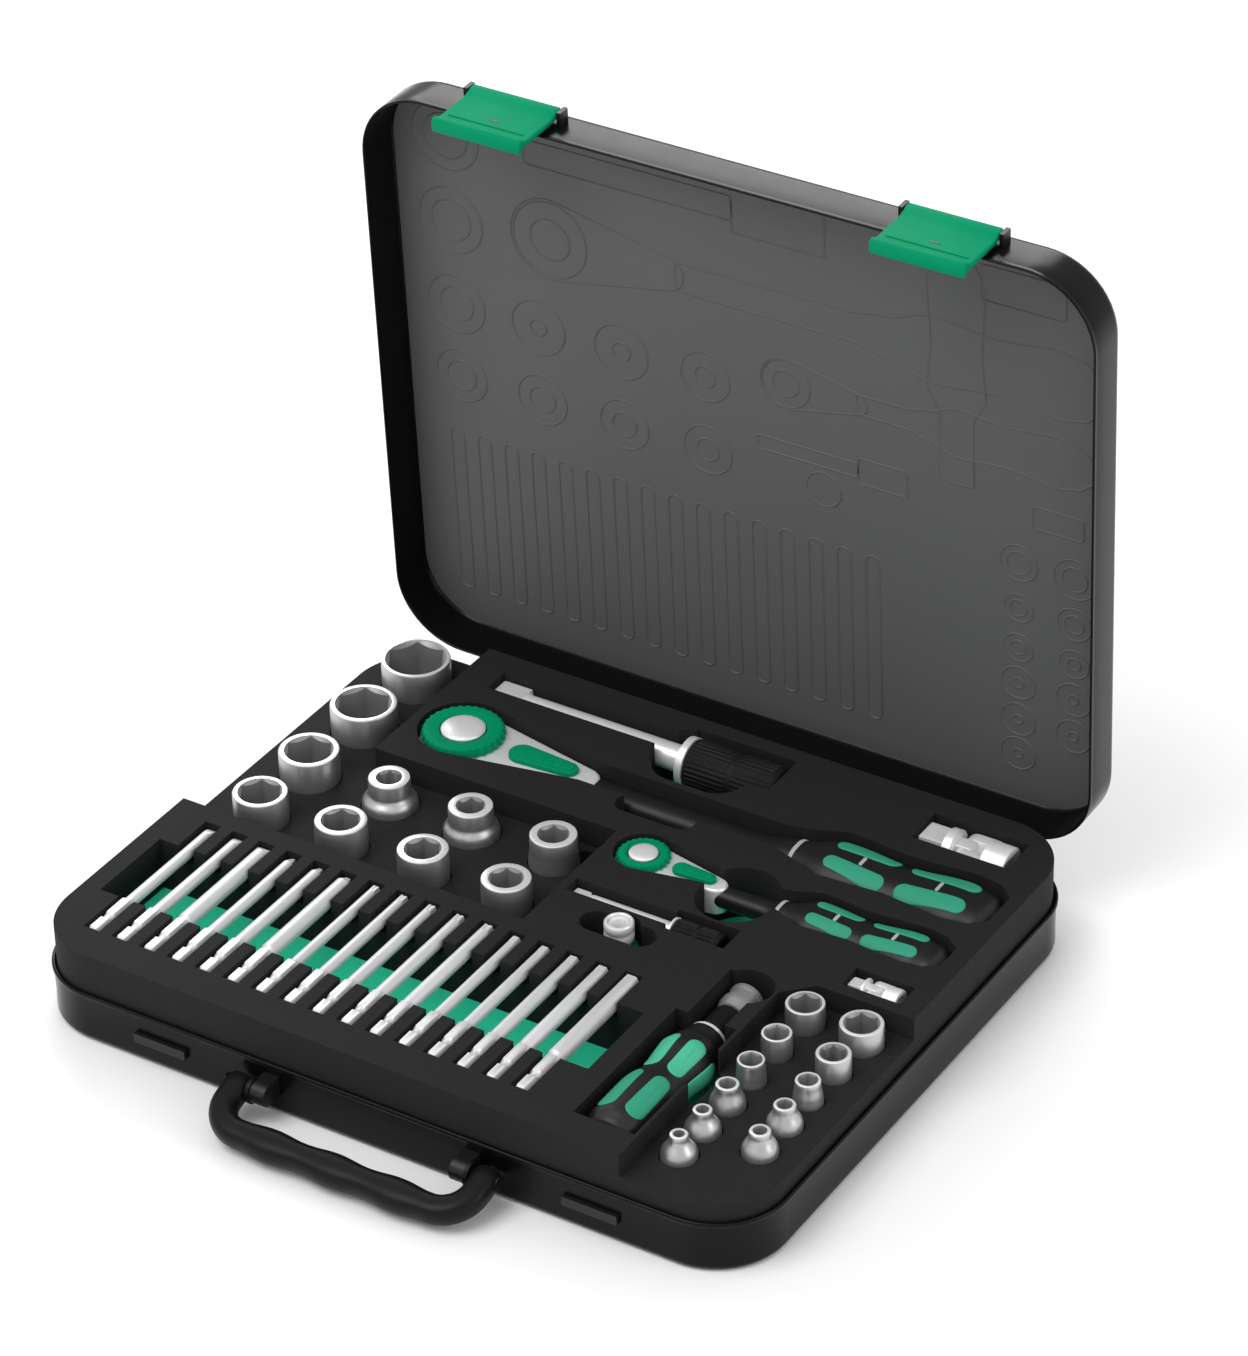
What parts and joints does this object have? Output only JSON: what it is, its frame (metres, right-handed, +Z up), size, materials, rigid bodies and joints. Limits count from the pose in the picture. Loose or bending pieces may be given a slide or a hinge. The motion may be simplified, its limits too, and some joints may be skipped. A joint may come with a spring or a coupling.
{
  "type": "socket wrench set in case",
  "caption": "Hinged flat case with a carrying handle and two latches. Its cut foam holds sockets, ratchets, extensions, universal joints, a bit driver and screwdriver bits.",
  "frame": {"origin": "centre of the base's underside, on the surface it lies on", "axes": "+Z up; -Y towards the handle and latches' side of the base; +X to the right seen from the front; the lid's hinge line runs along X at the rear"},
  "size_m": [0.355, 0.3481, 0.3245],
  "materials": {
    "case_plastic": "smooth glossy black",
    "lid_lining": "matt grey formed sheet",
    "upper_foam": "fine matt foam",
    "lower_foam": "fine matt foam",
    "hinge_plastic": "satin black",
    "hinge_steel": "plain steel",
    "green_plastic": "satin green",
    "handle_plastic": "satin black",
    "satin_steel": "satin chrome on steel",
    "bit_steel": "satin",
    "chrome_steel": "satin chrome",
    "grip_rubber": "matt black",
    "green_metal": "satin green"
  },
  "bodies": {
    "case": {"base_shell": "case_plastic", "foam_base": "lower_foam", "foam_tray": "upper_foam", "hinge_base_leaves": "hinge_plastic", "hinge_pins": "hinge_steel", "latch_catches": "hinge_plastic", "handle_brackets": "hinge_plastic"},
    "lid": {"lid_shell": "case_plastic", "lid_panel": "lid_lining", "hinge_lid_leaves": "hinge_plastic", "latch_pivots": "hinge_plastic"},
    "latch_left": {"latch_left": "green_plastic"},
    "latch_right": {"latch_right": "green_plastic"},
    "handle": {"handle": "handle_plastic"},
    "large_ratchet": {"large_ratchet_head": "chrome_steel", "large_ratchet_handle": "grip_rubber"},
    "large_ratchet_spindle": {"large_ratchet_drive": "chrome_steel", "large_ratchet_ring": "green_plastic"},
    "large_ratchet_button": {"large_ratchet_button": "chrome_steel"},
    "large_ratchet_lever": {"large_ratchet_lever": "green_plastic"},
    "small_ratchet": {"small_ratchet_head": "chrome_steel", "small_ratchet_handle": "grip_rubber"},
    "small_ratchet_spindle": {"small_ratchet_drive": "chrome_steel", "small_ratchet_ring": "green_plastic"},
    "small_ratchet_button": {"small_ratchet_button": "chrome_steel"},
    "small_ratchet_lever": {"small_ratchet_lever": "green_plastic"},
    "long_extension": {"long_extension": "chrome_steel"},
    "short_extension": {"short_extension": "chrome_steel"},
    "large_joint_drive": {"large_joint_drive": "chrome_steel"},
    "large_joint_socket": {"large_joint_socket": "chrome_steel"},
    "small_joint_drive": {"small_joint_drive": "chrome_steel"},
    "small_joint_socket": {"small_joint_socket": "chrome_steel"},
    "adaptor": {"adaptor_body": "green_metal"},
    "adaptor_collar": {"adaptor_collar": "chrome_steel"},
    "bit_driver": {"bit_driver_shank": "chrome_steel", "bit_driver_grip": "grip_rubber"},
    "socket_24": {"socket_24": "satin_steel"},
    "socket_22": {"socket_22": "satin_steel"},
    "socket_19": {"socket_19": "satin_steel"},
    "socket_17": {"socket_17": "satin_steel"},
    "socket_15": {"socket_15": "satin_steel"},
    "socket_14": {"socket_14": "satin_steel"},
    "socket_13": {"socket_13": "satin_steel"},
    "socket_12": {"socket_12": "satin_steel"},
    "socket_11": {"socket_11": "satin_steel"},
    "socket_10": {"socket_10": "satin_steel"},
    "small_socket_13": {"small_socket_13": "satin_steel"},
    "small_socket_12": {"small_socket_12": "satin_steel"},
    "small_socket_10": {"small_socket_10": "satin_steel"},
    "small_socket_9": {"small_socket_9": "satin_steel"},
    "small_socket_8": {"small_socket_8": "satin_steel"},
    "small_socket_7": {"small_socket_7": "satin_steel"},
    "small_socket_6": {"small_socket_6": "satin_steel"},
    "small_socket_5_half": {"small_socket_5_half": "satin_steel"},
    "small_socket_5": {"small_socket_5": "satin_steel"},
    "small_socket_4_half": {"small_socket_4_half": "satin_steel"},
    "small_socket_4": {"small_socket_4": "satin_steel"},
    "screwdriver_bits": {"screwdriver_bits": "bit_steel"},
    "star_bits": {"star_bits": "bit_steel"},
    "hex_bits": {"hex_bits": "bit_steel"}
  },
  "joints": [
    {"name": "lid_hinge", "type": "hinge", "parent": "case", "child": "lid", "pos_m": [0, 0.148, 0.0274], "axis": [-1, 0, 0], "range_deg": [-87.5, 0]},
    {"name": "latch_left_hinge", "type": "hinge", "parent": "lid", "child": "latch_left", "pos_m": [-0.1055, 0.14705, 0.32204], "axis": [-1, 0, 0], "range_deg": [0, 100]},
    {"name": "latch_right_hinge", "type": "hinge", "parent": "lid", "child": "latch_right", "pos_m": [0.1055, 0.14705, 0.32204], "axis": [-1, 0, 0], "range_deg": [0, 100]},
    {"name": "handle_hinge", "type": "hinge", "parent": "case", "child": "handle", "pos_m": [0, -0.149, 0.0145], "axis": [-1, 0, 0], "range_deg": [0, 100]},
    {"name": "large_ratchet_lift", "type": "slide", "parent": "case", "child": "large_ratchet", "axis": [0, 0, 1], "range_m": [0, 0.05]},
    {"name": "large_ratchet_spindle_turn", "type": "hinge", "parent": "large_ratchet", "child": "large_ratchet_spindle", "pos_m": [-0.1, 0.0805, 0.035], "axis": [0, 0, 1], "continuous": true},
    {"name": "large_ratchet_button_press", "type": "slide", "parent": "large_ratchet_spindle", "child": "large_ratchet_button", "axis": [0, 0, -1], "range_m": [0, 0.0015], "stiffness_N_per_m": 800, "springref_m": -0.001},
    {"name": "large_ratchet_lever_turn", "type": "hinge", "parent": "large_ratchet", "child": "large_ratchet_lever", "pos_m": [-0.069, 0.0805, 0.0394], "axis": [0, 0, 1], "range_deg": [-12, 12]},
    {"name": "small_ratchet_lift", "type": "slide", "parent": "case", "child": "small_ratchet", "axis": [0, 0, 1], "range_m": [0, 0.05]},
    {"name": "small_ratchet_spindle_turn", "type": "hinge", "parent": "small_ratchet", "child": "small_ratchet_spindle", "pos_m": [0.018, 0.0408, 0.035], "axis": [0, 0, 1], "continuous": true},
    {"name": "small_ratchet_button_press", "type": "slide", "parent": "small_ratchet_spindle", "child": "small_ratchet_button", "axis": [0, 0, -1], "range_m": [0, 0.0015], "stiffness_N_per_m": 800, "springref_m": -0.001},
    {"name": "small_ratchet_lever_turn", "type": "hinge", "parent": "small_ratchet", "child": "small_ratchet_lever", "pos_m": [0.037, 0.0408, 0.04], "axis": [0, 0, 1], "range_deg": [-12, 12]},
    {"name": "long_extension_lift", "type": "slide", "parent": "case", "child": "long_extension", "axis": [0, 0, 1], "range_m": [0, 0.05]},
    {"name": "short_extension_lift", "type": "slide", "parent": "case", "child": "short_extension", "axis": [0, 0, 1], "range_m": [0, 0.05]},
    {"name": "large_joint_drive_lift", "type": "slide", "parent": "case", "child": "large_joint_drive", "axis": [0, 0, 1], "range_m": [0, 0.05]},
    {"name": "large_joint_bend", "type": "hinge", "parent": "large_joint_drive", "child": "large_joint_socket", "pos_m": [0.1345, 0.118, 0.0359], "axis": [0, -1, 0], "range_deg": [0, 45]},
    {"name": "small_joint_drive_lift", "type": "slide", "parent": "case", "child": "small_joint_drive", "axis": [0, 0, 1], "range_m": [0, 0.05]},
    {"name": "small_joint_bend", "type": "hinge", "parent": "small_joint_drive", "child": "small_joint_socket", "pos_m": [0.15, 0.0085, 0.0385], "axis": [0, -1, 0], "range_deg": [0, 45]},
    {"name": "adaptor_lift", "type": "slide", "parent": "case", "child": "adaptor", "axis": [0, 0, 1], "range_m": [0, 0.05]},
    {"name": "adaptor_collar_slide", "type": "slide", "parent": "adaptor", "child": "adaptor_collar", "axis": [0, 0, -1], "range_m": [0, 0.003], "stiffness_N_per_m": 500, "springref_m": -0.001},
    {"name": "bit_driver_lift", "type": "slide", "parent": "case", "child": "bit_driver", "axis": [0, 0, 1], "range_m": [0, 0.05]},
    {"name": "socket_24_lift", "type": "slide", "parent": "case", "child": "socket_24", "axis": [0, 0, 1], "range_m": [0, 0.05]},
    {"name": "socket_22_lift", "type": "slide", "parent": "case", "child": "socket_22", "axis": [0, 0, 1], "range_m": [0, 0.05]},
    {"name": "socket_19_lift", "type": "slide", "parent": "case", "child": "socket_19", "axis": [0, 0, 1], "range_m": [0, 0.05]},
    {"name": "socket_17_lift", "type": "slide", "parent": "case", "child": "socket_17", "axis": [0, 0, 1], "range_m": [0, 0.05]},
    {"name": "socket_15_lift", "type": "slide", "parent": "case", "child": "socket_15", "axis": [0, 0, 1], "range_m": [0, 0.05]},
    {"name": "socket_14_lift", "type": "slide", "parent": "case", "child": "socket_14", "axis": [0, 0, 1], "range_m": [0, 0.05]},
    {"name": "socket_13_lift", "type": "slide", "parent": "case", "child": "socket_13", "axis": [0, 0, 1], "range_m": [0, 0.05]},
    {"name": "socket_12_lift", "type": "slide", "parent": "case", "child": "socket_12", "axis": [0, 0, 1], "range_m": [0, 0.05]},
    {"name": "socket_11_lift", "type": "slide", "parent": "case", "child": "socket_11", "axis": [0, 0, 1], "range_m": [0, 0.05]},
    {"name": "socket_10_lift", "type": "slide", "parent": "case", "child": "socket_10", "axis": [0, 0, 1], "range_m": [0, 0.05]},
    {"name": "small_socket_13_lift", "type": "slide", "parent": "case", "child": "small_socket_13", "axis": [0, 0, 1], "range_m": [0, 0.05]},
    {"name": "small_socket_12_lift", "type": "slide", "parent": "case", "child": "small_socket_12", "axis": [0, 0, 1], "range_m": [0, 0.05]},
    {"name": "small_socket_10_lift", "type": "slide", "parent": "case", "child": "small_socket_10", "axis": [0, 0, 1], "range_m": [0, 0.05]},
    {"name": "small_socket_9_lift", "type": "slide", "parent": "case", "child": "small_socket_9", "axis": [0, 0, 1], "range_m": [0, 0.05]},
    {"name": "small_socket_8_lift", "type": "slide", "parent": "case", "child": "small_socket_8", "axis": [0, 0, 1], "range_m": [0, 0.05]},
    {"name": "small_socket_7_lift", "type": "slide", "parent": "case", "child": "small_socket_7", "axis": [0, 0, 1], "range_m": [0, 0.05]},
    {"name": "small_socket_6_lift", "type": "slide", "parent": "case", "child": "small_socket_6", "axis": [0, 0, 1], "range_m": [0, 0.05]},
    {"name": "small_socket_5_half_lift", "type": "slide", "parent": "case", "child": "small_socket_5_half", "axis": [0, 0, 1], "range_m": [0, 0.05]},
    {"name": "small_socket_5_lift", "type": "slide", "parent": "case", "child": "small_socket_5", "axis": [0, 0, 1], "range_m": [0, 0.05]},
    {"name": "small_socket_4_half_lift", "type": "slide", "parent": "case", "child": "small_socket_4_half", "axis": [0, 0, 1], "range_m": [0, 0.05]},
    {"name": "small_socket_4_lift", "type": "slide", "parent": "case", "child": "small_socket_4", "axis": [0, 0, 1], "range_m": [0, 0.05]},
    {"name": "screwdriver_bits_lift", "type": "slide", "parent": "case", "child": "screwdriver_bits", "axis": [0, 0, 1], "range_m": [0, 0.05]},
    {"name": "star_bits_lift", "type": "slide", "parent": "case", "child": "star_bits", "axis": [0, 0, 1], "range_m": [0, 0.05]},
    {"name": "hex_bits_lift", "type": "slide", "parent": "case", "child": "hex_bits", "axis": [0, 0, 1], "range_m": [0, 0.05]}
  ]
}
